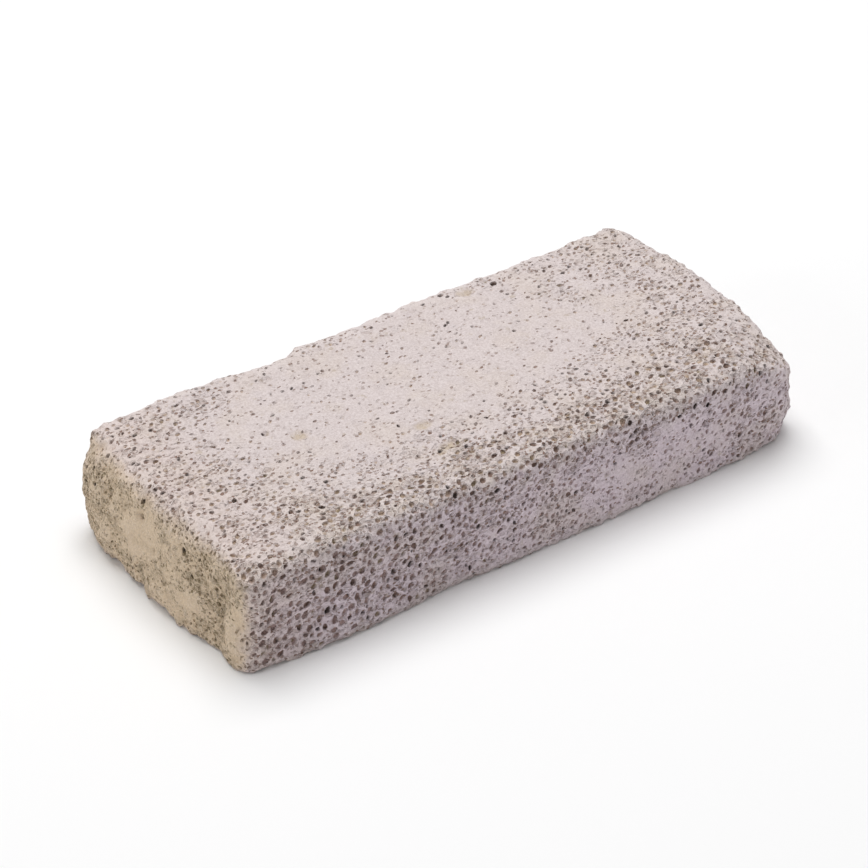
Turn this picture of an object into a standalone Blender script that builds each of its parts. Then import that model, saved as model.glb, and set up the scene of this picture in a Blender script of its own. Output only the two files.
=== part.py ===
"""Pumice stone: a hand-sized rubbing block of natural pumice, as one solid.

The script follows the way the real stone came about. A block is sawn, its edges wear round, its
faces swell and sag, its ends break unevenly, its underside is rubbed flat, and last of all the
gas bubbles that the surface has opened are cut out as pits.

Frame: +X along the length, +Y across the width from front to back, +Z up. The origin is in the
middle of the stone's box, on the flat underside.
"""

import math
import random

import bmesh
import bpy
from mathutils import Euler, Matrix, Vector, noise

MM = 0.001

# The block as it was sawn, before its edges wore and its left end broke.
LENGTH = 118.6 * MM
WIDTH = 53.4 * MM
HEIGHT = 20.6 * MM

# How far each edge has worn round. The key is the side of the block on which the edge lies, as
# signs along X, Y and Z, with 0 for the axis that the edge runs along.
EDGE_RADII = {
    (0, -1, 1): 3.2 * MM,  # top front
    (0, 1, 1): 2.0 * MM,  # top back
    (-1, 0, 1): 3.6 * MM,  # top left
    (1, 0, 1): 3.6 * MM,  # top right
    (0, -1, -1): 1.6 * MM,  # bottom front
    (0, 1, -1): 1.6 * MM,  # bottom back
    (-1, 0, -1): 1.4 * MM,  # bottom left
    (1, 0, -1): 2.4 * MM,  # bottom right
    (-1, -1, 0): 3.6 * MM,  # upright, left front
    (1, -1, 0): 6.0 * MM,  # upright, right front
    (-1, 1, 0): 4.2 * MM,  # upright, left back
    (1, 1, 0): 4.6 * MM,  # upright, right back
}
EDGE_SEGMENTS = 4

# The outward direction of each side.
LEFT, RIGHT = Vector((-1, 0, 0)), Vector((1, 0, 0))
FRONT, BACK = Vector((0, -1, 0)), Vector((0, 1, 0))
TOP = Vector((0, 0, 1))

# Where a side has swollen out of the sawn block or broken back into it: the way it moves, the
# middle of the patch, the patch's reach along X, Y and Z, and how far the middle moves, with a
# minus sign for a hollow. All in millimetres.
PATCHES = (
    (LEFT, (-59, 6, 2), (20, 25, 26), 3.4),  # the break leans out at its foot
    (LEFT, (-59, -11, 1), (10, 10, 15), 1.8),  # panel beside the near pillar
    (LEFT, (-59, -18.5, 8), (8, 2.6, 8), -0.9),  # groove that sets off the near pillar
    (LEFT, (-59, 3.5, 6), (8, 2.6, 12), -0.7),  # crease between the two smooth panels
    (LEFT, (-59, 22, 8), (12, 12, 13), 2.0),  # the far side of the break
    (BACK, (-59, 26, 10), (12, 10, 12), 0.6),  # the same, round the far corner
    (LEFT, (-59, -23, 0), (8, 8, 14), 1.4),  # foot of the near pillar
    (FRONT, (-56, -27, 0), (10, 9, 12), 0.4),  # the same foot, towards the front
    (LEFT, (-59, 26, 20), (9, 9, 7), -0.6),  # far top corner of the break
    (TOP, (-59, 26, 20), (9, 9, 7), -0.5),  # the same corner, from above
    (BACK, (-44, 27, 20), (12, 10, 9), 0.6),  # swelling left of the dent
    (BACK, (-23, 26, 19), (9, 8, 9), -1.6),  # dent in the back edge
    (BACK, (20, 27, 20), (40, 10, 9), 0.7),  # swelling right of the dent
    (BACK, (55, 27, 20), (14, 10, 10), 0.7),  # far corner of the right end
    (FRONT, (-38, -26, 1), (20, 8, 8), 1.1),  # lip along the foot of the front
    (FRONT, (8, -26, 1), (24, 8, 8), 0.5),  # swelling along the foot of the front
    (RIGHT, (59, 3, 13), (12, 19, 16), 1.4),  # middle of the right end
    (RIGHT, (59, -19, 4), (10, 12, 10), 1.2),  # foot of the right end
    (TOP, (59, -23, 20), (13, 12, 10), -3.6),  # near top corner of the right end
    (FRONT, (59, -26, 0), (16, 10, 8), -1.6),  # near bottom corner of the right end
)

# Waves all over the surface, as (wavelength, height), and how much rougher the broken ends are.
WAVES = ((14 * MM, 0.34 * MM), (5.5 * MM, 0.20 * MM), (2.6 * MM, 0.10 * MM))
LEFT_ROUGHNESS = 2.4
RIGHT_ROUGHNESS = 1.5
ROUGH_ZONE = 9 * MM  # how far in from an end the extra roughness fades away

# Mesh sizes: the even mesh that the wear works on, and the share of it that is kept.
WEAR_CELL = 0.8 * MM
KEPT_SHARE = 0.058
SAW_DEPTH = 0.35 * MM  # what rubbing the underside flat takes off

# The bubbles that the surface has opened.
PIT_COUNT = 240
PIT_TRIES = 20000
PIT_RADII = (0.5 * MM, 1.0 * MM)
PIT_SIDES = 6
PIT_STRETCH = 0.25  # how far a pit's mouth departs from a circle
PIT_DEPTHS = (0.55, 1.0)  # depth of a pit, in radii of its mouth
PIT_FLOOR = 0.5  # radius of a pit's floor, in radii of its mouth
PIT_LEAN = 0.3  # how far a pit may lean, in radians
PIT_WALL = 0.35 * MM  # least wall between two pits
FOOT_MARGIN = 0.9 * MM  # least distance from a pit to the rim of the underside
PIT_SEED = 11

# How thickly the pits lie: the share of the places tried that are kept, for the surface at large
# and for the patches that differ, each given by its middle and its reach in millimetres.
PIT_SHARE = 0.35
PIT_PATCHES = (
    ((-50, -24, 17), (26, 14, 14), 1.0),  # near corner and the edge that runs from it
    ((0, -26, 20), (60, 6, 7), 0.8),  # top front edge
    ((56, 0, 18), (14, 40, 14), 0.8),  # right end and its top edge
    ((-58, 20, 18), (9, 24, 8), 0.7),  # far half of the top left edge
    ((4, 4, 20), (44, 20, 6), 0.06),  # middle of the top
    ((-59, 8, 9), (5, 5, 8), 0.0),  # smooth panel in the break
    ((-59, -11, 5), (5, 5, 8), 0.0),  # smooth panel beside the near pillar
    ((0, 0, 0), (58, 26, 1), 0.12),  # underside
    ((0, 0, 0), (8, 8, 1), 0.0),  # middle of the underside, on which the stone rests
)

# Single pits that stand out on the smoother surface, each as a place near it and a radius, in
# millimetres.
LONE_PITS = (
    ((-28.2, -14.4, 20), 0.9),
    ((-34.5, 6.5, 20), 0.9),
    ((-35.8, -15.3, 20), 0.7),
    ((-14.3, -5.0, 20), 0.7),
    ((-0.6, -11.8, 20), 0.8),
    ((20.5, -24.0, 20), 0.9),
    ((34.7, -14.2, 20), 0.8),
    ((38.1, -1.3, 20), 0.8),
    ((-26.6, -26, 9.0), 0.9),
    ((-8.5, -26, 8.2), 0.8),
    ((36.9, -26, 15.9), 0.8),
    ((-62, -15, 15.0), 0.8),
)

STONE_COLOUR = (0.62, 0.57, 0.53, 1.0)
STONE_ROUGHNESS = 0.95


def clear_scene():
    for obj in list(bpy.data.objects):
        bpy.data.objects.remove(obj)


def new_collection(name):
    collection = bpy.data.collections.new(name)
    bpy.context.scene.collection.children.link(collection)
    return collection


def new_object(name, mesh, collection):
    obj = bpy.data.objects.new(name, mesh)
    collection.objects.link(obj)
    return obj


def apply_modifiers(obj):
    """Replaces the object's mesh with the one that its modifiers make of it."""
    graph = bpy.context.evaluated_depsgraph_get()
    shaped = bpy.data.meshes.new_from_object(obj.evaluated_get(graph))
    obj.modifiers.clear()
    obj.data = shaped


def side_of(point):
    """The signs of a point's place along X, Y and Z."""
    return tuple(0 if abs(c) < 0.1 * MM else int(math.copysign(1, c)) for c in point)


def sawn_block(collection):
    """The block with each of its twelve edges rounded by its own radius."""
    mesh = bpy.data.meshes.new("sawn_block")
    bm = bmesh.new()
    bmesh.ops.create_cube(bm, size=1.0, matrix=Matrix.Diagonal((LENGTH, WIDTH, HEIGHT, 1)))
    largest = max(EDGE_RADII.values())
    weight = bm.edges.layers.float.new("bevel_weight_edge")
    for edge in bm.edges:
        middle = (edge.verts[0].co + edge.verts[1].co) / 2
        edge[weight] = EDGE_RADII[side_of(middle)] / largest
    bmesh.ops.translate(bm, verts=bm.verts, vec=(0, 0, HEIGHT / 2 - SAW_DEPTH))
    bm.to_mesh(mesh)
    bm.free()

    block = new_object("pumice_stone", mesh, collection)
    bevel = block.modifiers.new("worn_edges", "BEVEL")
    bevel.limit_method = "WEIGHT"
    bevel.width = largest
    bevel.segments = EDGE_SEGMENTS
    remesh = block.modifiers.new("even_mesh", "REMESH")
    remesh.mode = "VOXEL"
    remesh.voxel_size = WEAR_CELL
    apply_modifiers(block)
    return block


def patch_shift(point):
    """How far the hand-placed swellings and hollows move this point of the block."""
    shift = Vector()
    for way, middle, reach, height in PATCHES:
        away = Vector((p / MM - m) / r for p, m, r in zip(point, middle, reach))
        near = 1 - away.length_squared
        if near > 0:
            shift += way * height * MM * near**2
    return shift


def roughness_at(point):
    """How many times the common roughness this point has: more at the two broken ends."""
    inward = LENGTH / 2 - abs(point.x)
    share = max(0.0, 1 - inward / ROUGH_ZONE)
    most = LEFT_ROUGHNESS if point.x < 0 else RIGHT_ROUGHNESS
    return 1 + (most - 1) * share


def wave_height(point):
    return sum(height * noise.noise(point / length) for length, height in WAVES)


def wear(stone):
    """Moves the surface by the patches and the waves."""
    bm = bmesh.new()
    bm.from_mesh(stone.data)
    bm.normal_update()
    shifts = [
        patch_shift(vert.co) + vert.normal * wave_height(vert.co) * roughness_at(vert.co)
        for vert in bm.verts
    ]
    for vert, shift in zip(bm.verts, shifts):
        vert.co += shift
    bm.to_mesh(stone.data)
    bm.free()


def thin_out(stone):
    """Keeps the triangles that the shape needs: few on its flats, many on its edges and breaks."""
    decimate = stone.modifiers.new("fewer_faces", "DECIMATE")
    decimate.ratio = KEPT_SHARE
    decimate.use_collapse_triangulate = True
    apply_modifiers(stone)


def rub_underside_flat(stone):
    """Cuts the underside off level at Z = 0."""
    bm = bmesh.new()
    bm.from_mesh(stone.data)
    everything = bm.verts[:] + bm.edges[:] + bm.faces[:]
    cut = bmesh.ops.bisect_plane(
        bm,
        geom=everything,
        plane_co=(0, 0, 0),
        plane_no=(0, 0, 1),
        clear_inner=True,
    )
    rim = [part for part in cut["geom_cut"] if isinstance(part, bmesh.types.BMEdge)]
    bmesh.ops.contextual_create(bm, geom=rim)
    bmesh.ops.recalc_face_normals(bm, faces=bm.faces)
    bm.to_mesh(stone.data)
    bm.free()


def surface_samples(mesh, rng, count):
    """Random places on the surface, spread evenly over its area, each with its normal."""
    mesh.calc_loop_triangles()
    triangles = list(mesh.loop_triangles)
    areas = [triangle.area for triangle in triangles]
    for triangle in rng.choices(triangles, weights=areas, k=count):
        a, b, c = (mesh.vertices[i].co for i in triangle.vertices)
        u, v = rng.random(), rng.random()
        if u + v > 1:
            u, v = 1 - u, 1 - v
        yield a + (b - a) * u + (c - a) * v, triangle.normal.copy()


def pit_share(point):
    """The share of pits kept here: that of the last patch which the point lies in."""
    share = PIT_SHARE
    for middle, reach, patch_share in PIT_PATCHES:
        away = Vector((p / MM - m) / r for p, m, r in zip(point, middle, reach))
        if away.length < 1:
            share = patch_share
    return share


def clear_of_foot(middle, radius, rim):
    """Whether a pit keeps off the sharp rim of the underside."""
    least = radius + FOOT_MARGIN
    return all((middle - place).length > least for place in rim)


def foot_rim(mesh):
    """Places along the rim of the underside, close enough together to measure from."""
    foot = min(mesh.polygons, key=lambda face: face.center.z)
    corners = [mesh.vertices[i].co for i in foot.vertices]
    rim = []
    for start, end in zip(corners, corners[1:] + corners[:1]):
        steps = max(1, math.ceil((end - start).length / (0.5 * MM)))
        rim += [start.lerp(end, step / steps) for step in range(steps)]
    return rim


def lone_pits(stone):
    """The single pits, each moved to the nearest place on the surface."""
    for place, radius in LONE_PITS:
        _, mouth, normal, _ = stone.closest_point_on_mesh(Vector(place) * MM)
        yield mouth, normal, radius * MM


def choose_pits(stone, rng):
    """Places for the pits, as (mouth, normal, radius), clear of one another and of the foot."""
    rim = foot_rim(stone.data)
    pits = list(lone_pits(stone))
    for mouth, normal in surface_samples(stone.data, rng, PIT_TRIES):
        radius = rng.uniform(*PIT_RADII)
        if rng.random() > pit_share(mouth) or not clear_of_foot(mouth, radius, rim):
            continue
        if all((mouth - m).length > radius + r + PIT_WALL for m, _, r in pits):
            pits.append((mouth, normal, radius))
        if len(pits) == PIT_COUNT:
            break
    return pits


def bubble_cutter(pits, rng, collection):
    """One mesh of separate cups that narrow inwards, each turned, leaned and stretched its own way."""
    bm = bmesh.new()
    for mouth, normal, radius in pits:
        depth = radius * rng.uniform(*PIT_DEPTHS)
        lean = Euler((rng.uniform(-PIT_LEAN, PIT_LEAN), rng.uniform(-PIT_LEAN, PIT_LEAN), 0))
        turn = Matrix.Rotation(rng.uniform(0, math.tau), 4, "Z")
        outward = normal.to_track_quat("Z", "Y").to_matrix().to_4x4()
        stretch = Matrix.Diagonal((rng.uniform(1 - PIT_STRETCH, 1), 1, 1, 1))
        bmesh.ops.create_cone(
            bm,
            cap_ends=True,
            segments=PIT_SIDES,
            radius1=radius * PIT_FLOOR,
            radius2=radius * (2 - PIT_FLOOR),
            depth=2 * depth,
            matrix=Matrix.Translation(mouth) @ outward @ lean.to_matrix().to_4x4() @ turn @ stretch,
        )
    mesh = bpy.data.meshes.new("bubbles")
    bm.to_mesh(mesh)
    bm.free()
    cutter = new_object("bubbles", mesh, collection)
    cutter.hide_render = True
    cutter.display_type = "WIRE"
    return cutter


def open_bubbles(stone, cutters):
    """Cuts the pits out of the surface."""
    rng = random.Random(PIT_SEED)
    pits = choose_pits(stone, rng)
    cut = stone.modifiers.new("pits", "BOOLEAN")
    cut.operation = "DIFFERENCE"
    cut.solver = "EXACT"
    cut.object = bubble_cutter(pits, rng, cutters)
    apply_modifiers(stone)


def settle(stone):
    """Puts the origin in the middle of the stone's box, on the underside."""
    places = [vert.co for vert in stone.data.vertices]
    low = Vector(min(place[axis] for place in places) for axis in range(3))
    high = Vector(max(place[axis] for place in places) for axis in range(3))
    middle = (low + high) / 2
    stone.data.transform(Matrix.Translation((-middle.x, -middle.y, -low.z)))


def stone_material():
    material = bpy.data.materials.new("pumice")
    material.use_nodes = True
    shader = material.node_tree.nodes["Principled BSDF"]
    shader.inputs["Base Color"].default_value = STONE_COLOUR
    shader.inputs["Roughness"].default_value = STONE_ROUGHNESS
    shader.inputs["Metallic"].default_value = 0.0
    return material


def main():
    clear_scene()
    stone = sawn_block(new_collection("Pumice stone"))
    wear(stone)
    thin_out(stone)
    rub_underside_flat(stone)
    open_bubbles(stone, new_collection("Cutters"))
    settle(stone)
    stone.data.name = stone.name
    stone.data.materials.append(stone_material())


main()
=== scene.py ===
"""A pumice stone: a worn block of natural foam rock, with one broken end, lying on a pale floor.

The stone is carved from a copy of its plain solid. The copy is meshed evenly, roughened, and then
opened all over by thousands of gas bubbles, thick along its edges and thin on its rubbed faces.
"""
import math
import random

import bpy
from mathutils import Euler, Matrix, Vector, noise
from mathutils.bvhtree import BVHTree
from mathutils.kdtree import KDTree


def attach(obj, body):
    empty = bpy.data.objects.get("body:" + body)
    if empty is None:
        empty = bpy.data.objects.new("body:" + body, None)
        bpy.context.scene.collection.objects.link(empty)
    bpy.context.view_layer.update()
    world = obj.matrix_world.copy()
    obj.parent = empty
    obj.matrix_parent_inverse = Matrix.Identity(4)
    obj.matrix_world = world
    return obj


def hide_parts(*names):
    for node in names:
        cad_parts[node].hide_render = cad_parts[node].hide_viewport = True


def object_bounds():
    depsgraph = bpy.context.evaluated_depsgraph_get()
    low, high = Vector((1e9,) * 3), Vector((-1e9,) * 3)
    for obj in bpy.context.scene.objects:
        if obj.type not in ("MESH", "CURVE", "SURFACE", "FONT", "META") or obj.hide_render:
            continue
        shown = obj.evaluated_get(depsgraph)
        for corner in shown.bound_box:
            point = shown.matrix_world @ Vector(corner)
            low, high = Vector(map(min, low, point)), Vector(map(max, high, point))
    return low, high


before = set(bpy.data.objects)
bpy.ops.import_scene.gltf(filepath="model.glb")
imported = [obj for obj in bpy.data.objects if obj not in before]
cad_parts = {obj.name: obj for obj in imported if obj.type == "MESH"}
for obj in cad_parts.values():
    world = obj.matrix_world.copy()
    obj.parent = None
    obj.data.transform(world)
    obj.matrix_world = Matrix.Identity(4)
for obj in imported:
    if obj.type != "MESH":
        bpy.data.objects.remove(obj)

CAD_LOW, CAD_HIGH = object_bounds()

MM = 0.001
NODE = "pumice_stone"

# The camera, aimed at a point inside the stone. Its lens and sensor are in millimetres.
CAMERA_AIM = Vector((-1.86, 1.43, 10.0)) * MM
CAMERA_AZIMUTH = math.radians(-34.26)
CAMERA_ELEVATION = math.radians(35.14)
CAMERA_DISTANCE = 514.7 * MM
CAMERA_ROLL = math.radians(-0.79)
CAMERA_LENS = 120.3
CAMERA_SENSOR = 36

# The rock's surface between its pores.
ROCK_CELL = 0.42 * MM
ROCK_FACES = 64000  # its triangles, about, before the pores are cut
WELD_REACH = 0.001 * MM  # corners closer than this are one
WORN_ROUNDS = 2  # rounds of smoothing that take the steps off the even mesh
EVEN_ROUNDS = 30  # rounds of smoothing that leave only the larger form
FOOT_HEIGHT = 0.35 * MM  # what lies this low and faces down is the flat underside
FOOT_FACING = -0.5

# Relief of the rock, as (name, where, wavelength, height). Relief with no place is all over, and
# the break and the worn edges have their own on top of it.
RELIEF = (
    ("lumps", "", 3.2 * MM, 0.50 * MM),
    ("crumbs", "", 1.3 * MM, 0.26 * MM),
    ("ledges", "break", 4.5 * MM, 1.3 * MM),
    ("splinters", "break", 1.9 * MM, 0.7 * MM),
    ("nibbles", "edges", 1.6 * MM, 1.00 * MM),
)
BREAK_REACH = 10 * MM  # the break's relief fades out over this length
BREAK_ONSET = 1.6  # and it is full where this times the normal's part towards the end reaches 1
EDGE_SQUARENESS = 0.96  # the normal's largest part, above which a surface is a side, not an edge
EDGE_ONSET = 4  # how soon an edge's relief is full, below that

# A surface counts as the break's where its normal's part towards the broken end is above the
# first value. The second is how soon it counts in full.
FACING_BREAK = (0.45, 2.0)

# Shallow dents with ochre dirt in them, as (middle, reach) in millimetres.
DENTS = (
    ((-9.9, -7.0, 20.5), (2.3, 1.5, 4.0)),
    ((-9.4, -14.3, 20.5), (2.6, 1.6, 4.0)),
    ((-11.7, -15.4, 20.5), (1.2, 0.9, 4.0)),
    ((-29.0, 2.7, 20.5), (2.0, 1.7, 4.0)),
    ((20.4, 23.6, 20.5), (2.4, 1.5, 4.0)),
)
DENT_DEPTH = 0.45 * MM

# The pores. A zone is (middle, reach, tries per square millimetre, smallest and largest radius,
# share filled with powder), lengths in millimetres. The first zone is the rock at large, and each
# later one takes over towards its own middle.
PORE_SEED = 7
PORE_TRIES = 20.0  # places tried on each square millimetre, of which a zone keeps its own share
PORE_SIZES = 1.5  # above 1 there are more small pores than large ones
PORE_WALL = 0.07 * MM  # least thickness of the wall between two pores
PORE_DUSK = (0.30, 0.60 * MM)  # painted shade added to the finest pores, which lie deeper for their width, and the radius where it is 0
BREAK_FEWER = 0.45  # share of its pores that the break goes without
BREAK_SMALLER = 0.30  # and how much smaller the others are
BREAK_LESS_FOAM = 0.6  # and how much less foamy its rock is between them
PORE_ZONES = (
    ((0, 0, 10), (400, 400, 400), 2.4, (0.22, 0.52), 0.25),
    ((-34, -28, 9), (42, 8, 22), 16.0, (0.18, 0.62), 0.25),  # left of the front
    ((-52, -25, 12), (34, 18, 20), 20.0, (0.20, 0.72), 0.15),  # near corner
    ((0, -25, 20), (74, 10, 7), 14.0, (0.20, 0.62), 0.20),  # top front edge
    ((8, -28, 6), (28, 8, 13), 5.5, (0.20, 0.52), 0.20),  # middle of the front
    ((52, -28, 8), (26, 8, 20), 5.8, (0.20, 0.60), 0.15),  # right of the front
    ((58, -2, 18), (36, 42, 12), 3.3, (0.22, 0.52), 0.30),  # right end and the top near it
    ((62, 0, 8), (8, 30, 14), 3.0, (0.20, 0.60), 0.30),  # lower right end
    ((44, -22, 20), (30, 8, 6), 9.0, (0.24, 0.66), 0.25),  # right of the top front edge
    ((-52, 4, 20), (22, 40, 6), 3.8, (0.20, 0.56), 0.30),  # left of the top
    ((0, 28, 19), (66, 7, 6), 1.8, (0.24, 0.50), 0.20),  # top back edge
    ((0, 8, 21), (60, 26, 6), 0.30, (0.26, 0.46), 0.30),  # rubbed middle of the top
    ((25, -28, 7), (22, 6, 10), 1.3, (0.20, 0.44), 0.15),  # smooth patch of the front
    ((-61, 0, 8), (6, 24, 14), 4.0, (0.20, 0.42), 0.20),  # the break
    ((-61, 21, 12), (6, 9, 14), 8.0, (0.26, 0.60), 0.10),  # far part of the break
    ((-61, 5, 1), (6, 6, 6), 12.0, (0.22, 0.56), 0.00),  # crumbly foot of the break
    ((-61, -14, 1), (6, 7, 5), 12.0, (0.22, 0.56), 0.00),  # the same, nearer
    ((-61, -12, 13), (6, 3, 4), 12.0, (0.24, 0.60), 0.00),  # crumbly spot under the top
    ((-61, 7, 11), (6, 7, 7), 0.02, (0.16, 0.24), 0.50),  # smooth panel in the break
    ((-61, -12, 7), (6, 6, 4), 0.02, (0.16, 0.24), 0.50),  # smooth panel, nearer
    ((-61, -18, 16), (6, 3, 3), 0.02, (0.16, 0.24), 0.50),  # smooth spot under the top
    ((-66, -24, 8), (12, 7, 20), 1.2, (0.22, 0.50), 0.20),  # near pillar
    ((0, 0, 0), (60, 26, 1.5), 0.60, (0.22, 0.46), 0.40),  # underside
)
# Single dark pores, as (a place near it, radius) in millimetres.
LONE_PORES = (
    ((-27.4, -14.2, 20), 0.55),
    ((-33.7, 6.7, 20), 0.55),
    ((-35.0, -15.1, 20), 0.45),
    ((-13.5, -4.8, 20), 0.45),
    ((0.2, -11.6, 20), 0.50),
    ((21.3, -23.8, 20), 0.60),
    ((35.5, -14.0, 20), 0.50),
    ((38.9, -1.1, 20), 0.50),
    ((26.7, 23.2, 20), 0.75),
    ((16.4, 25.5, 20), 0.60),
    ((17.0, 24.1, 20), 0.50),
    ((-25.8, -26, 9.0), 0.70),
    ((-7.7, -26, 8.2), 0.60),
    ((37.7, -26, 15.9), 0.60),
    ((-62, -14.8, 15.0), 0.60),
    ((-60, -8.5, 15.7), 0.75),
    ((-60, -10.9, 11.6), 0.60),
    ((-60, 16.9, 5.0), 0.45),
    ((-60, 4.1, 18.3), 0.60),
    ((-60, 18.4, 20.0), 0.60),
)
LONE_LIFT = 0.10  # as OPEN_LIFT
LONE_SHADE = 0.92  # nearly the darkest, which is 1
WANDER_SEED = 489  # keeps the zones on the break near their own places
ZONE_WANDER = (8.0 * MM, 4.5 * MM)  # wavelength and reach of the wander of the zones' borders
ZONE_CORE = 1.6  # above 1 a zone has a core where it rules alone
SWARM = (3.5 * MM, 1.1)  # wavelength and strength of the pores' crowding together
FOAM_TRIES = (0.4, 9.0)  # how often pores are tried in close rock and in rock that is all foam
SORTING_CELL = 1.5 * MM  # a pore is compared with those in its own cell and the cells around it
UNDERSIDE_FACING = -0.9  # a pore near the floor has to face down this squarely

# The bubbles that cut the pores.
BUBBLE_GROWTH = 1.22  # a rough ball's flats lie inside its radius, so it is cut larger
SMALL_PORE = 0.34 * MM  # below this a pore is a plain dimple
OPEN_LIFT = (0.05, 0.40)  # height of an open bubble's middle above the surface, in radii
FILLED_LIFT = (0.55, 0.80)  # the same for one that powder has partly filled
BUBBLE_SHRINK = 0.22  # each of its three widths may be less by up to this share
BUBBLE_LEAN = 0.4  # radians that it may lean over, either way
BUBBLE_TWIST = 0.5  # spread, in radians, of the way that it is drawn out
FLOW = Vector((0.62, 0.25, 0.75))  # the way the foam was drawn out
FLOW_STRETCH = (1.22, 0.88)  # a pore's length along the flow and its width across it

# The finished stone.
STONE_TRIANGLES = 192000
MEND_ROUNDS = 2  # closing one gap can show another
SHADE_ANGLE = math.radians(50)

# What each corner of the stone tells the material. mark_surface says what they are.
MARKS = ("depth", "hollow", "shade", "foam", "broken", "rubbed", "ochre")
RUBBED = (1.5, 0.3)  # rubbed is the normal's upright part times the first, less the second

# Charts of the stone's own UV map: three pairs of opposite sides of the box.
CHART_GAP = 1.5 * MM
LEVEL_FIRST = 1.15  # a slope between two charts goes rather to the top's or the underside's

# The studio, in metres and watts. A light is (name, place, side, power, tint).
FLOOR_SIDE = 6.0
WORLD_LIGHT = 0.3
LIGHT_WHITE = (1.0, 1.0, 1.0)
FRONT_TINT = (0.97, 0.92, 1.0)
LIGHTS = (
    ("overhead", (0.1, 0.25, 1.0), 0.8, 9.5, LIGHT_WHITE),
    ("left", (-1.0, 0.1, 0.35), 0.5, 1.7, LIGHT_WHITE),
    ("front", (0.35, -1.1, 0.45), 0.7, 0.8, FRONT_TINT),
)


# ------------------------------------------------------------------ tools


def deselect():
    if bpy.context.object and bpy.context.object.mode != "OBJECT":
        bpy.ops.object.mode_set(mode="OBJECT")
    bpy.ops.object.select_all(action="DESELECT")


def work_on(obj):
    """Makes one object the only selected and the active one."""
    deselect()
    obj.select_set(True)
    bpy.context.view_layer.objects.active = obj


def apply_all(obj):
    work_on(obj)
    for modifier in list(obj.modifiers):
        bpy.ops.object.modifier_apply(modifier=modifier.name)


def start_editing(obj):
    """Edit mode on one object, with all its corners selected."""
    work_on(obj)
    bpy.ops.object.mode_set(mode="EDIT")
    bpy.ops.mesh.select_mode(type="VERT")
    bpy.ops.mesh.select_all(action="SELECT")


def stop_editing():
    bpy.ops.mesh.select_all(action="DESELECT")
    bpy.ops.object.mode_set(mode="OBJECT")


def add_smoothing(obj, rounds):
    smooth = obj.modifiers.new("smoothing", "SMOOTH")
    smooth.factor = 0.5
    smooth.iterations = rounds


def clamp(value):
    return max(0.0, min(1.0, value))


def fade(point, middle, reach):
    """1 at the middle of a zone, falling smoothly to 0 at its reach."""
    away = sum(((p - m) / r) ** 2 for p, m, r in zip(point, middle, reach))
    near = max(0.0, 1 - away)
    return near * near * (3 - 2 * near)


# ------------------------------------------------------------------ the rock


def copy_of_node(name):
    """A copy of the plain solid, with its loose triangles merged."""
    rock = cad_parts[name].copy()
    rock.data = rock.data.copy()
    rock.name = "stone"
    rock.data.name = "stone"
    rock.parent = None
    bpy.context.scene.collection.objects.link(rock)
    start_editing(rock)
    bpy.ops.mesh.remove_doubles(threshold=WELD_REACH)
    stop_editing()
    return rock


def mesh_evenly(rock):
    remesh = rock.modifiers.new("even_mesh", "REMESH")
    remesh.mode = "VOXEL"
    remesh.voxel_size = ROCK_CELL
    add_smoothing(rock, WORN_ROUNDS)
    apply_all(rock)


def mark_relief(rock):
    """Vertex groups that are 1 on the broken end and on the worn edges, and 0 elsewhere."""
    broken = rock.vertex_groups.new(name="break")
    edges = rock.vertex_groups.new(name="edges")
    for vert in rock.data.vertices:
        inward = (vert.co.x - CAD_LOW.x) / BREAK_REACH
        share = clamp(-vert.normal.x * BREAK_ONSET) * clamp(1 - inward)
        broken.add([vert.index], share, "REPLACE")
        squareness = max(abs(part) for part in vert.normal)
        edges.add([vert.index], clamp((EDGE_SQUARENESS - squareness) * EDGE_ONSET), "REPLACE")


def roughen(rock):
    mark_relief(rock)
    for name, where, wavelength, height in RELIEF:
        clouds = bpy.data.textures.new(name, "CLOUDS")
        clouds.noise_scale = wavelength
        clouds.noise_depth = 1
        displace = rock.modifiers.new(name, "DISPLACE")
        displace.texture = clouds
        displace.texture_coords = "LOCAL"
        displace.strength = height
        displace.mid_level = 0.5
        displace.vertex_group = where
    apply_all(rock)
    rock.vertex_groups.clear()


def dent_share(point):
    """1 in the middle of a dent, and 0 away from them all."""
    return max(fade(point / MM, middle, reach) for middle, reach in DENTS)


def sink_dents(rock):
    """Lowers the top in each dent."""
    for vert in rock.data.vertices:
        vert.co.z -= DENT_DEPTH * dent_share(vert.co)


def thin_out(rock, faces):
    """Reduces the mesh to about this many triangles, if it has more."""
    rock.data.calc_loop_triangles()
    now = len(rock.data.loop_triangles)
    if now > faces:
        decimate = rock.modifiers.new("fewer_faces", "DECIMATE")
        decimate.ratio = faces / now
        decimate.use_collapse_triangulate = True
        apply_all(rock)


def lay_flat(rock):
    """Presses the underside flat."""
    for vert in rock.data.vertices:
        if vert.co.z < FOOT_HEIGHT and vert.normal.z < FOOT_FACING:
            vert.co.z = 0


def mesh_box(obj):
    places = [vert.co for vert in obj.data.vertices]
    low = Vector(min(place[axis] for place in places) for axis in range(3))
    high = Vector(max(place[axis] for place in places) for axis in range(3))
    return low, high


def keep_in_box(rock):
    """Nothing lies below the floor or outside the box of the CAD part."""
    for vert in rock.data.vertices:
        vert.co.z = max(vert.co.z, 0)
    low, high = mesh_box(rock)
    middle = (CAD_LOW + CAD_HIGH) / 2
    for axis in range(3):
        over = max(high[axis] - CAD_HIGH[axis], CAD_LOW[axis] - low[axis])
        if over > 0:
            half = (CAD_HIGH[axis] - CAD_LOW[axis]) / 2
            start = 0 if axis == 2 else middle[axis]
            shrink = half / (half + over)
            for vert in rock.data.vertices:
                vert.co[axis] = start + (vert.co[axis] - start) * shrink


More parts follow.
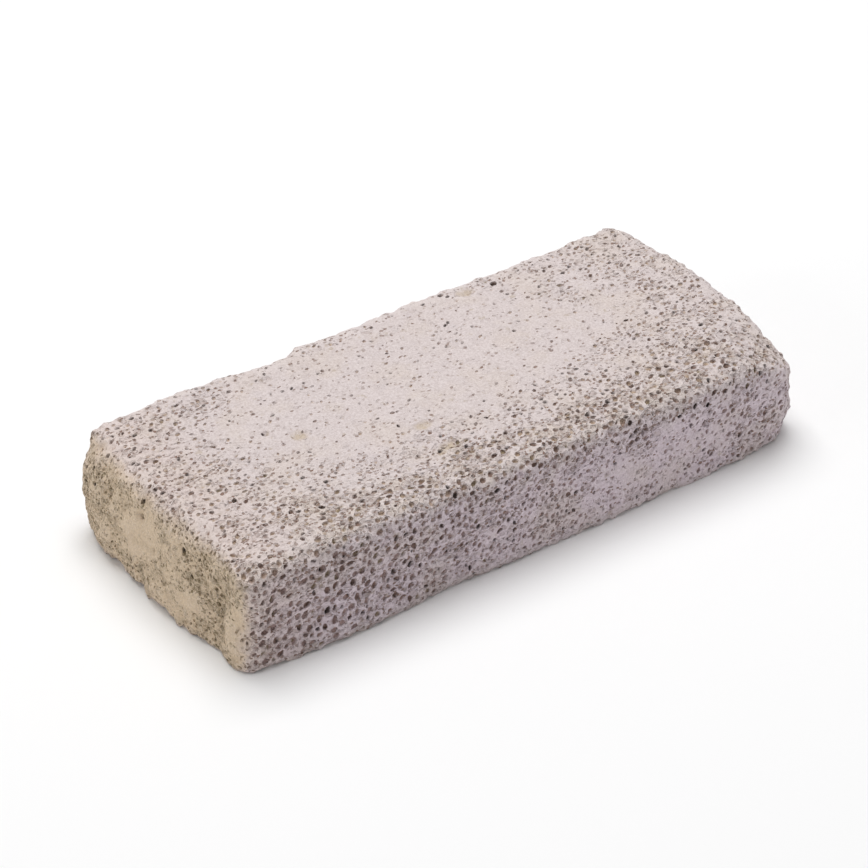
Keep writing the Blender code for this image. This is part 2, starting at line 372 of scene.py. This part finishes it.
def mend(rock):
    """Takes out faces that the thinning has left loose or folded, and closes the gaps."""
    rock.data.validate()
    start_editing(rock)
    bpy.ops.mesh.remove_doubles(threshold=WELD_REACH)
    bpy.ops.mesh.dissolve_degenerate(threshold=WELD_REACH)
    for _ in range(MEND_ROUNDS):
        bpy.ops.mesh.select_all(action="DESELECT")
        bpy.ops.mesh.select_non_manifold()
        bpy.ops.mesh.delete(type="VERT")
        bpy.ops.mesh.select_all(action="SELECT")
        bpy.ops.mesh.fill_holes(sides=0)
        bpy.ops.mesh.quads_convert_to_tris()
    stop_editing()


# ------------------------------------------------------------------ the pores


def zone_values(point):
    """Tries per square millimetre, smallest and largest radius and filled share at a point."""
    wander = noise.noise_vector(point / ZONE_WANDER[0]) * ZONE_WANDER[1]
    x, y, z = (point + wander) / MM
    tries, small, large, filled = 0, 0, 0, 0
    for middle, reach, zone_tries, (zone_small, zone_large), zone_filled in PORE_ZONES:
        if abs(x - middle[0]) < reach[0] and abs(y - middle[1]) < reach[1]:
            share = min(1.0, fade((x, y, z), middle, reach) * ZONE_CORE)
            tries += (zone_tries - tries) * share
            small += (zone_small - small) * share
            large += (zone_large - large) * share
            filled += (zone_filled - filled) * share
    swarm = 1 + SWARM[1] * noise.noise(point / SWARM[0])
    return tries * max(0.0, swarm), small, large, filled


def surface_samples(mesh, rng, count):
    """Random places on the surface, spread evenly over its area, each with its normal."""
    mesh.calc_loop_triangles()
    triangles = list(mesh.loop_triangles)
    areas = [triangle.area for triangle in triangles]
    for triangle in rng.choices(triangles, weights=areas, k=count):
        a, b, c = (mesh.vertices[i].co for i in triangle.vertices)
        u, v = rng.random(), rng.random()
        if u + v > 1:
            u, v = 1 - u, 1 - v
        normal = sum((mesh.vertices[i].normal for i in triangle.vertices), Vector()).normalized()
        yield a + (b - a) * u + (c - a) * v, normal


def facing_break(normal):
    """1 where the surface faces the broken end, and 0 where it doesn't."""
    least, gain = FACING_BREAK
    return clamp((-normal.x - least) * gain)


def tried_pores(rock, rng):
    """Pores that could open, as (radius, height of the bubble's middle, place, normal)."""
    area = sum(face.area for face in rock.data.polygons) / MM**2
    for place, normal in surface_samples(rock.data, rng, int(area * PORE_TRIES)):
        tries, small, large, filled = zone_values(place)
        broken = facing_break(normal)
        if rng.random() * PORE_TRIES < tries * (1 - BREAK_FEWER * broken):
            radius = (small + (large - small) * rng.random() ** PORE_SIZES) * MM
            radius *= 1 - BREAK_SMALLER * broken
            lift = rng.uniform(*(FILLED_LIFT if rng.random() < filled else OPEN_LIFT))
            on_rim = place.z < 2 * radius and normal.z > UNDERSIDE_FACING
            if not on_rim:
                yield radius, lift, place, normal


def lone_pores(skin):
    """The lone pores as tried_pores gives its own, each at the surface nearest to its place."""
    lone = []
    for place, radius in LONE_PORES:
        place, normal, _, _ = skin.find_nearest(Vector(place) * MM)
        lone.append((radius * MM, LONE_LIFT, place, normal))
    return lone


def choose_pores(rock, skin, rng):
    """The pores that open, as (middle, normal, radius), with a wall between any two.

    The lone pores come first and then the others, from large to small.
    """
    taken = {}
    pores = []
    tried = lone_pores(skin) + sorted(tried_pores(rock, rng), key=lambda pore: -pore[0])
    for radius, lift, place, normal in tried:
        mouth = radius * math.sqrt(1 - lift * lift)
        key = tuple(int(part // SORTING_CELL) for part in place)
        near = (
            pore
            for x in (-1, 0, 1)
            for y in (-1, 0, 1)
            for z in (-1, 0, 1)
            for pore in taken.get((key[0] + x, key[1] + y, key[2] + z), ())
        )
        if all((place - other).length > mouth + size + PORE_WALL for other, size in near):
            taken.setdefault(key, []).append((place, mouth))
            pores.append((place + normal * lift * radius, normal, radius))
    return pores


def bubble_shape(small):
    """The corners and faces of one bubble: a rough ball, or a double cone for a small one."""
    deselect()
    if small:
        bpy.ops.mesh.primitive_uv_sphere_add(segments=6, ring_count=2, radius=1)
    else:
        bpy.ops.mesh.primitive_ico_sphere_add(subdivisions=1, radius=1)
    bubble = bpy.context.object
    corners = [vert.co.copy() for vert in bubble.data.vertices]
    faces = [tuple(face.vertices) for face in bubble.data.polygons]
    bpy.data.objects.remove(bubble)
    return corners, faces


def bubble_matrix(normal, radius, rng):
    """Turns and stretches a bubble of radius 1 that opens along a normal, drawn out by the flow."""
    across = normal.cross(FLOW).normalized()
    along = across.cross(normal)
    outward = Matrix((along, across, normal)).transposed()
    size = radius * BUBBLE_GROWTH
    widths = [size * s * rng.uniform(1 - BUBBLE_SHRINK, 1) for s in (*FLOW_STRETCH, 1)]
    sizes = Matrix.Diagonal(widths)
    lean_x, lean_y = rng.uniform(-BUBBLE_LEAN, BUBBLE_LEAN), rng.uniform(-BUBBLE_LEAN, BUBBLE_LEAN)
    lean = Euler((lean_x, lean_y, rng.gauss(0, BUBBLE_TWIST))).to_matrix()
    turn = Matrix.Rotation(rng.uniform(0, math.tau), 3, "Z")
    return outward @ lean @ sizes @ turn


def bubbles(pores, rng):
    """One mesh that holds a bubble for each pore."""
    shapes = {True: bubble_shape(True), False: bubble_shape(False)}
    points, polygons = [], []
    for middle, normal, radius in pores:
        corners, faces = shapes[radius < SMALL_PORE]
        matrix = bubble_matrix(normal, radius, rng)
        start = len(points)
        points += [middle + matrix @ corner for corner in corners]
        polygons += [[start + i for i in face] for face in faces]
    mesh = bpy.data.meshes.new("bubbles")
    mesh.from_pydata(points, [], polygons)
    cutter = bpy.data.objects.new("bubbles", mesh)
    bpy.context.scene.collection.objects.link(cutter)
    return cutter


def open_pores(rock, pores, rng):
    """Cuts a bubble out of the rock for each pore."""
    cutter = bubbles(pores, rng)
    cut = rock.modifiers.new("pores", "BOOLEAN")
    cut.operation = "DIFFERENCE"
    cut.solver = "MANIFOLD"
    cut.object = cutter
    before = len(rock.data.polygons)
    apply_all(rock)
    if len(rock.data.polygons) == before:
        raise RuntimeError("the pores did not cut")
    bpy.data.objects.remove(cutter)


# ------------------------------------------------------------------ what the material reads


def surface_tree(obj):
    mesh = obj.data
    return BVHTree.FromPolygons(
        [vert.co for vert in mesh.vertices], [face.vertices for face in mesh.polygons]
    )


def smoothed_tree(rock):
    """The surface with its small hollows and lumps evened out."""
    even = rock.copy()
    even.data = rock.data.copy()
    bpy.context.scene.collection.objects.link(even)
    add_smoothing(even, EVEN_ROUNDS)
    apply_all(even)
    tree = surface_tree(even)
    bpy.data.objects.remove(even)
    return tree


def mark_surface(rock, skin, even, pores, rng):
    """Stores on each vertex what the material reads.

    depth is how deep it lies in a pore and hollow how far it lies under the evened surface, both
    in millimetres; shade is how dark its pore is painted, partly its fill and partly painted
    shade in the deeper pores; foam is 1 where the rock is all pores; broken is 1 on the broken
    end; rubbed is 1 on the top and the underside; ochre is 1 in a dent.
    """
    tree = KDTree(len(pores))
    for index, (middle, _, _) in enumerate(pores):
        tree.insert(middle, index)
    tree.balance()
    darker, wide = PORE_DUSK
    shades = [rng.random() + darker * (1 - radius / wide) for _, _, radius in pores]
    shades[: len(LONE_PORES)] = [LONE_SHADE] * len(LONE_PORES)
    close, foamy = FOAM_TRIES
    slope, start = RUBBED
    marks = {name: [] for name in MARKS}
    for vert in rock.data.vertices:
        place, _, _, distance = skin.find_nearest(vert.co)
        above, upward, _, _ = even.find_nearest(place)
        broken = facing_break(upward)
        foam = clamp((zone_values(place)[0] - close) / (foamy - close))
        marks["depth"].append(distance / MM)
        marks["hollow"].append((above - place).dot(upward) / MM)
        marks["shade"].append(shades[tree.find(vert.co)[1]])
        marks["foam"].append(foam * (1 - BREAK_LESS_FOAM * broken))
        marks["broken"].append(broken)
        marks["rubbed"].append(clamp(abs(upward.z) * slope - start))
        marks["ochre"].append(dent_share(place))
    for name, values in marks.items():
        attribute = rock.data.attributes.new(name, "FLOAT", "POINT")
        attribute.data.foreach_set("value", values)


def unwrap(rock, skin):
    """Lays the six sides of the stone out flat, each pore with the side that it opens on."""
    length, width, height = CAD_HIGH - CAD_LOW
    gap = CHART_GAP
    whole = 2 * width + 2 * height + 5 * gap
    # Where each side's chart starts, by (the axis that it faces along, which way it faces).
    starts = {
        (2, 1): (gap, gap),
        (2, -1): (gap, 2 * gap + width),
        (1, -1): (gap, 3 * gap + 2 * width),
        (1, 1): (gap, 4 * gap + 2 * width + height),
        (0, -1): (2 * gap + length, gap),
        (0, 1): (2 * gap + length, 2 * gap + width),
    }
    layer = rock.data.uv_layers.new(name="OFBake")
    for face in rock.data.polygons:
        _, normal, _, _ = skin.find_nearest(face.center)
        axis = max(range(3), key=lambda a: abs(normal[a]) * (LEVEL_FIRST if a == 2 else 1))
        side = 1 if normal[axis] > 0 else -1
        start = starts[axis, side]
        across, along = {0: (2, 1), 1: (0, 2), 2: (0, 1)}[axis]
        for corner in face.loop_indices:
            place = rock.data.vertices[rock.data.loops[corner].vertex_index].co - CAD_LOW
            layer.data[corner].uv = (
                (start[0] + place[across]) / whole,
                (start[1] + place[along]) / whole,
            )


# ------------------------------------------------------------------ materials


class Nodes:
    """A material's node tree, with short calls to add a node and link it."""

    def __init__(self, material):
        material.use_nodes = True
        self.tree = material.node_tree
        self.shader = self.tree.nodes["Principled BSDF"]

    def give(self, node, name, value):
        """Links an input to another node's output, or sets it to a plain value."""
        socket = node.inputs[name]
        if isinstance(value, bpy.types.NodeSocket):
            self.tree.links.new(value, socket)
        else:
            socket.default_value = value

    def add(self, kind, settings=None, **inputs):
        """Adds a node. In the name of an input, _ stands for a space."""
        node = self.tree.nodes.new(kind)
        for name, value in (settings or {}).items():
            setattr(node, name, value)
        for name, value in inputs.items():
            self.give(node, name.replace("_", " "), value)
        return node

    def mix(self, share, first, second, blend="MIX"):
        """The first colour, with the second over it by its share."""
        node = self.add("ShaderNodeMix", {"data_type": "RGBA", "blend_type": blend})
        for socket, value in ((0, share), (6, first), (7, second)):
            self.give(node, socket, value)
        return node.outputs[2]

    def math(self, operation, first, second):
        node = self.add("ShaderNodeMath", {"operation": operation})
        self.give(node, 0, first)
        self.give(node, 1, second)
        return node.outputs[0]

    def product(self, first, *others):
        for other in others:
            first = self.math("MULTIPLY", first, other)
        return first

    def span(self, value, low, high, to_low=0.0, to_high=1.0):
        """Maps low..high smoothly to to_low..to_high, held at both ends."""
        node = self.add(
            "ShaderNodeMapRange",
            {"interpolation_type": "SMOOTHSTEP"},
            Value=value,
            From_Min=low,
            From_Max=high,
            To_Min=to_low,
            To_Max=to_high,
        )
        return node.outputs[0]

    def noise(self, place, per_mm, detail):
        node = self.add("ShaderNodeTexNoise", Vector=place, Scale=per_mm, Detail=detail)
        return node.outputs["Fac"]

    def patches(self, place, per_mm, low, high, least=0.0, most=1.0, detail=3):
        """Soft patches: least where the noise is below low, and most where it is above high."""
        return self.span(self.noise(place, per_mm, detail), low, high, least, most)


def colour(red, green, blue):
    return (red, green, blue, 1.0)


PALE = colour(0.705, 0.625, 0.615)  # powdered rock on the rubbed faces
LILAC = colour(0.755, 0.65, 0.705)  # bare rock on the sides, its lilac partly a painted tint of the cool front light
CREAM = colour(0.69, 0.595, 0.53)  # broad patches, and rubbed foam
GREY = colour(0.56, 0.50, 0.52)  # broad patches
WARM = colour(0.71, 0.58, 0.525)  # the rock near the break
BREAK_TAN = colour(0.72, 0.57, 0.40)  # the break itself
TAN = colour(0.43, 0.34, 0.23)  # stains, and light pores of the break
OLIVE = colour(0.25, 0.195, 0.115)  # dirt and painted shade in the hollows, and dirt in some pores
OCHRE = colour(0.55, 0.44, 0.30)  # dirt in the dents
POWDER_AND_HIGHLIGHT = colour(0.80, 0.73, 0.70)  # powder, and a painted highlight, on what stands out
CRUMB_SHADE = colour(0.82, 0.80, 0.79)  # darkens the rock between its pale crumbs
SPECK_PALE = colour(0.93, 0.87, 0.86)
PORE_TAN = colour(0.47, 0.355, 0.26)  # light pores of the rubbed faces
PORE_MAUVE = colour(0.43, 0.305, 0.285)  # light pores of the sides
# Brown is partly the pores' own colour and partly painted shade; nearly black is painted shade deep
# in them.
PORE_BROWN = colour(0.27, 0.175, 0.14)
PORE_DARK = colour(0.035, 0.025, 0.02)

# Grain, specks and foam cells, per millimetre.
GRAINS = 2.4
SPECKS = 5.0
WIDE_CELLS = 0.95
FINE_CELLS = 2.1

WARM_REACH = (-64, -38)  # the rock turns from warm to plain over this length, in millimetres
FOAM_DRAWN = (0.75, 1.0, 1.15)  # below 1 draws the cells out along that axis, above 1 squeezes them
FOAM_TURN = (0, math.radians(50), 0)  # turns their pattern, and not the way they are drawn out
BUMP_HEIGHT = 0.28 * MM


def bare_rock(n, place, marks):
    """Pale on top and lilac on the sides, in broad patches, and tan towards the break. The lilac is
    partly a painted tint of the cool front light.
    """
    rock = n.mix(marks["rubbed"], LILAC, PALE)
    rock = n.mix(n.patches(place, per_mm=0.11, low=0.45, high=0.66, most=0.40), rock, CREAM)
    rock = n.mix(n.patches(place, per_mm=0.23, low=0.55, high=0.75, most=0.25), rock, GREY)
    along = n.add("ShaderNodeSeparateXYZ", Vector=place).outputs[0]
    rock = n.mix(n.span(along, *WARM_REACH, 0.7, 0), rock, WARM)
    return n.mix(n.product(marks["broken"], 0.95), rock, BREAK_TAN)


def stained_and_shaded_rock(n, rock, place, marks):
    """Tan stains a few millimetres wide, olive dirt and painted shade in the hollows, ochre dirt in
    the dents.
    """
    foam, broken = marks["foam"], marks["broken"]
    rock = n.mix(n.patches(place, per_mm=0.65, low=0.62, high=0.74, most=0.45), rock, TAN)
    crags = n.patches(place, per_mm=0.45, low=0.46, high=0.64, least=0.05, most=0.45, detail=4)
    rock = n.mix(n.product(broken, n.span(foam, 0.02, 0.25), crags), rock, TAN)
    # Olive where the surface lies under its evened form: partly dirt, partly painted shade in the
    # crevices.
    dirt = n.product(n.span(marks["hollow"], 0.05, 0.50), n.span(broken, 0, 1, 0.25, 0.50))
    rock = n.mix(dirt, rock, OLIVE)
    creamy = n.patches(place, per_mm=0.35, low=0.45, high=0.62, most=0.7)
    rock = n.mix(n.product(foam, marks["rubbed"], creamy), rock, CREAM)
    patchy = n.patches(place, per_mm=0.9, low=0.3, high=0.6, least=0.4)
    return n.mix(n.product(marks["ochre"], patchy, 0.75), rock, OCHRE)


def powdered_and_highlit_rock(n, rock, grain, speck, marks):
    """Pale crumbs and specks, and powder rubbed onto what stands out, which is also a painted
    highlight on the raised relief.
    """
    rock = n.mix(n.span(grain, 0.3, 0.7, 1, 0), rock, CRUMB_SHADE, "MULTIPLY")
    rock = n.mix(n.span(speck, 0.50, 0.75, 0.0, 0.35), rock, SPECK_PALE)
    # Lighter where the surface stands above its evened form: powder, and a painted highlight on the
    # relief.
    raised = n.span(marks["hollow"], -0.03, -0.25)
    return n.mix(n.product(raised, n.span(marks["broken"], 0, 1, 0.20, 0.05)), rock, POWDER_AND_HIGHLIGHT)


def foam_cells(n, place, per_mm, foam, opened):
    """Small cells: (1 inside an open one, a random value that sets how dark it is painted). The
    walls between cells stay 0.

    foam is how far the rock is foam, and opened is the share of the cells that open in pure foam.
    """
    cells = n.add("ShaderNodeTexVoronoi", Vector=place, Scale=per_mm)
    to_wall = {"feature": "DISTANCE_TO_EDGE"}
    walls = n.add("ShaderNodeTexVoronoi", to_wall, Vector=place, Scale=per_mm)
    parts = n.add("ShaderNodeSeparateColor", Color=cells.outputs["Color"])
    inside = n.span(walls.outputs["Distance"], 0.04, 0.16)
    limit = n.math("SUBTRACT", 1.0, n.product(foam, opened))
    is_open = n.span(n.math("SUBTRACT", parts.outputs[0], limit), -0.05, 0.05)
    return n.product(inside, is_open), parts.outputs[1]


def finer_foam(n, place, marks):
    """Foam cells too fine to be cut in the mesh, drawn out along the stone, wide ones and fine.

    Each is (1 inside an open cell, how dark it is painted there), the darkness partly painted shade
    in cells too fine to be cut.
    """
    drawn = n.add("ShaderNodeMapping", Vector=place, Rotation=FOAM_TURN, Scale=FOAM_DRAWN).outputs[0]
    foam = marks["foam"]
    wide, wide_shade = foam_cells(n, drawn, WIDE_CELLS, foam, 0.7)
    denser = n.product(n.math("POWER", foam, 0.5), n.span(marks["broken"], 0, 1, 1, 1.7))
    denser = n.math("ADD", denser, n.product(marks["rubbed"], 0.12))
    fine, fine_shade = foam_cells(n, drawn, FINE_CELLS, denser, 0.42)
    wide_dark = n.product(wide, n.span(wide_shade, 0.1, 1.0, 0.05, 0.30))
    fine_dark = n.product(fine, n.span(fine_shade, 0.1, 1.0, 0.10, 1.0))
    return (wide, wide_dark), (fine, fine_dark)


def pore_inside(n, deep, marks):
    """Tan, brown or nearly black by how dark the pore is painted, partly its fill and partly painted
    shade, and olive where dirt has settled.
    """
    shade = marks["shade"]
    cup = n.mix(marks["broken"], n.mix(marks["rubbed"], PORE_MAUVE, PORE_TAN), TAN)
    inner = n.mix(n.span(shade, 0.30, 0.80), cup, deep)
    inner = n.mix(n.span(shade, 0.75, 1.0), inner, PORE_DARK)
    return n.mix(n.span(shade, 0.14, 0.10, 0, 0.8), inner, OLIVE)


def pumice_material():
    material = bpy.data.materials.new("pumice_foam")
    n = Nodes(material)
    coordinates = n.add("ShaderNodeTexCoord").outputs["Object"]
    place = n.add("ShaderNodeMapping", Vector=coordinates, Scale=[1 / MM] * 3).outputs[0]
    marks = {
        name: n.add("ShaderNodeAttribute", {"attribute_name": name}).outputs["Fac"]
        for name in MARKS
    }
    grain = n.noise(place, GRAINS, detail=4)
    speck = n.noise(place, SPECKS, detail=2)
    (wide, wide_dark), (fine, fine_dark) = finer_foam(n, place, marks)
    deep = n.mix(marks["broken"], PORE_BROWN, OLIVE)

    rock = bare_rock(n, place, marks)
    rock = stained_and_shaded_rock(n, rock, place, marks)
    rock = powdered_and_highlit_rock(n, rock, grain, speck, marks)
    # Open foam cells darkened: partly their brown and partly painted shade in cells too fine to be
    # cut.
    rock = n.mix(wide_dark, rock, deep)
    rock = n.mix(fine_dark, rock, deep)
    # Darker with depth in a pore: partly its brown and partly painted shade in its depths.
    in_pore = n.span(marks["depth"], 0.03, 0.40, 0, 0.95)
    rock = n.mix(in_pore, rock, pore_inside(n, deep, marks))

    height = n.math("ADD", n.product(grain, 0.5), n.product(speck, 0.25))
    height = n.math("SUBTRACT", height, n.product(wide, 0.7))
    height = n.math("SUBTRACT", height, n.product(fine, 0.5))
    bump = n.add("ShaderNodeBump", Height=height, Distance=BUMP_HEIGHT, Strength=0.85)

    n.give(n.shader, "Base Color", rock)
    n.give(n.shader, "Roughness", n.span(grain, 0.3, 0.7, 0.86, 1.0))
    n.give(n.shader, "Normal", bump.outputs[0])
    n.shader.inputs["Specular IOR Level"].default_value = 0.25
    return material


def floor_material():
    material = bpy.data.materials.new("paper")
    n = Nodes(material)
    n.shader.inputs["Base Color"].default_value = colour(0.93, 0.93, 0.93)
    n.shader.inputs["Roughness"].default_value = 0.9
    n.shader.inputs["Specular IOR Level"].default_value = 0.1
    return material


# ------------------------------------------------------------------ making it


def make_stone():
    rng = random.Random(PORE_SEED)
    noise.seed_set(WANDER_SEED)
    stone = copy_of_node(NODE)
    mesh_evenly(stone)
    roughen(stone)
    sink_dents(stone)
    thin_out(stone, ROCK_FACES)
    lay_flat(stone)
    keep_in_box(stone)
    skin = surface_tree(stone)
    even = smoothed_tree(stone)
    pores = choose_pores(stone, skin, rng)
    open_pores(stone, pores, rng)
    thin_out(stone, STONE_TRIANGLES)
    mend(stone)
    keep_in_box(stone)
    mark_surface(stone, skin, even, pores, rng)
    unwrap(stone, skin)
    work_on(stone)
    bpy.ops.object.shade_smooth_by_angle(angle=SHADE_ANGLE)
    stone.data.materials.clear()
    stone.data.materials.append(pumice_material())
    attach(stone, "root")
    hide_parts(NODE)


def make_floor():
    deselect()
    bpy.ops.mesh.primitive_plane_add(size=FLOOR_SIDE)
    floor = bpy.context.object
    floor.name = "floor"
    floor.data.materials.append(floor_material())


def area_light(name, place, side, power, tint):
    """A soft light that faces the middle of the floor, where the stone lies."""
    deselect()
    bpy.ops.object.light_add(type="AREA", location=place)
    light = bpy.context.object
    light.name = name
    light.rotation_euler = (-Vector(place)).to_track_quat("-Z", "Y").to_euler()
    light.data.size = side
    light.data.energy = power
    light.data.color = tint


def make_lights():
    world = bpy.data.worlds.new("studio")
    world.use_nodes = True
    background = world.node_tree.nodes["Background"]
    background.inputs["Color"].default_value = colour(*LIGHT_WHITE)
    background.inputs["Strength"].default_value = WORLD_LIGHT
    bpy.context.scene.world = world
    for light in LIGHTS:
        area_light(*light)
    bpy.context.scene.view_settings.view_transform = "Standard"


def make_camera():
    deselect()
    level = math.cos(CAMERA_ELEVATION)
    away = Vector(
        (
            math.sin(CAMERA_AZIMUTH) * level,
            -math.cos(CAMERA_AZIMUTH) * level,
            math.sin(CAMERA_ELEVATION),
        )
    )
    bpy.ops.object.camera_add(location=CAMERA_AIM + away * CAMERA_DISTANCE)
    camera = bpy.context.object
    upright = (-away).to_track_quat("-Z", "Y")
    camera.rotation_euler = (upright @ Euler((0, 0, CAMERA_ROLL)).to_quaternion()).to_euler()
    camera.data.lens = CAMERA_LENS
    camera.data.sensor_width = CAMERA_SENSOR
    bpy.context.scene.camera = camera


make_camera()
make_floor()
make_lights()
make_stone()
